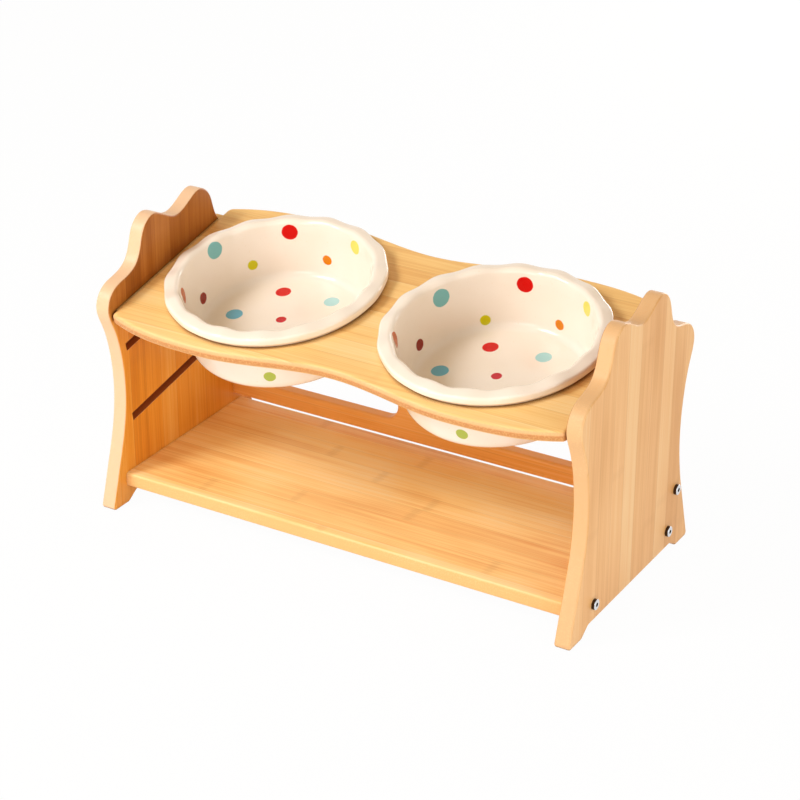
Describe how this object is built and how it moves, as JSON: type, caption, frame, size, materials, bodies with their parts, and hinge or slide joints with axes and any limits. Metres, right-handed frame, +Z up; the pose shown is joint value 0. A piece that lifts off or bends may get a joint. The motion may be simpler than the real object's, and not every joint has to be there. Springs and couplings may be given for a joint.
{
  "type": "elevated double pet bowl",
  "caption": "Bamboo pet feeding stand with scalloped side panels, a sloping board in grooves, a low shelf and lift-out cream ceramic bowls with coloured dots.",
  "frame": {"origin": "on the ground under the middle of the part's box, between the four feet", "axes": "+X along the length to the right end seen from the front, -Y to the low front edge of the board, +Z up"},
  "size_m": [0.4052, 0.1956, 0.2211],
  "materials": {
    "bamboo_panel": "clear satin lacquer over vertical bamboo strips",
    "bamboo_board": "clear satin lacquer over lengthwise bamboo strips",
    "cream_glaze": "glossy cream glaze with coloured dots",
    "screw_steel": "bright zinc plated steel",
    "dowel_wood": "plain beech"
  },
  "bodies": {
    "stand": {"left_panel": "bamboo_panel", "right_panel": "bamboo_panel", "bottom_shelf": "bamboo_board", "back_rail": "bamboo_board", "shelf_screw_front_left": "screw_steel", "shelf_screw_front_right": "screw_steel", "shelf_screw_rear_left": "screw_steel", "shelf_screw_rear_right": "screw_steel", "rail_screw_left": "screw_steel", "rail_screw_right": "screw_steel", "rail_dowel_left": "dowel_wood", "rail_dowel_right": "dowel_wood"},
    "board": {"top_board": "bamboo_board"},
    "bowl_left": {"left_bowl": "cream_glaze"},
    "bowl_right": {"right_bowl": "cream_glaze"}
  },
  "joints": [
    {"name": "board_slide", "type": "slide", "parent": "stand", "child": "board", "axis": [0, 0.9799, 0.1994], "range_m": [0, 0.13]},
    {"name": "left_bowl_lift", "type": "slide", "parent": "board", "child": "bowl_left", "axis": [0, -0.1994, 0.9799], "range_m": [0, 0.06]},
    {"name": "right_bowl_lift", "type": "slide", "parent": "board", "child": "bowl_right", "axis": [0, -0.1994, 0.9799], "range_m": [0, 0.06]}
  ]
}
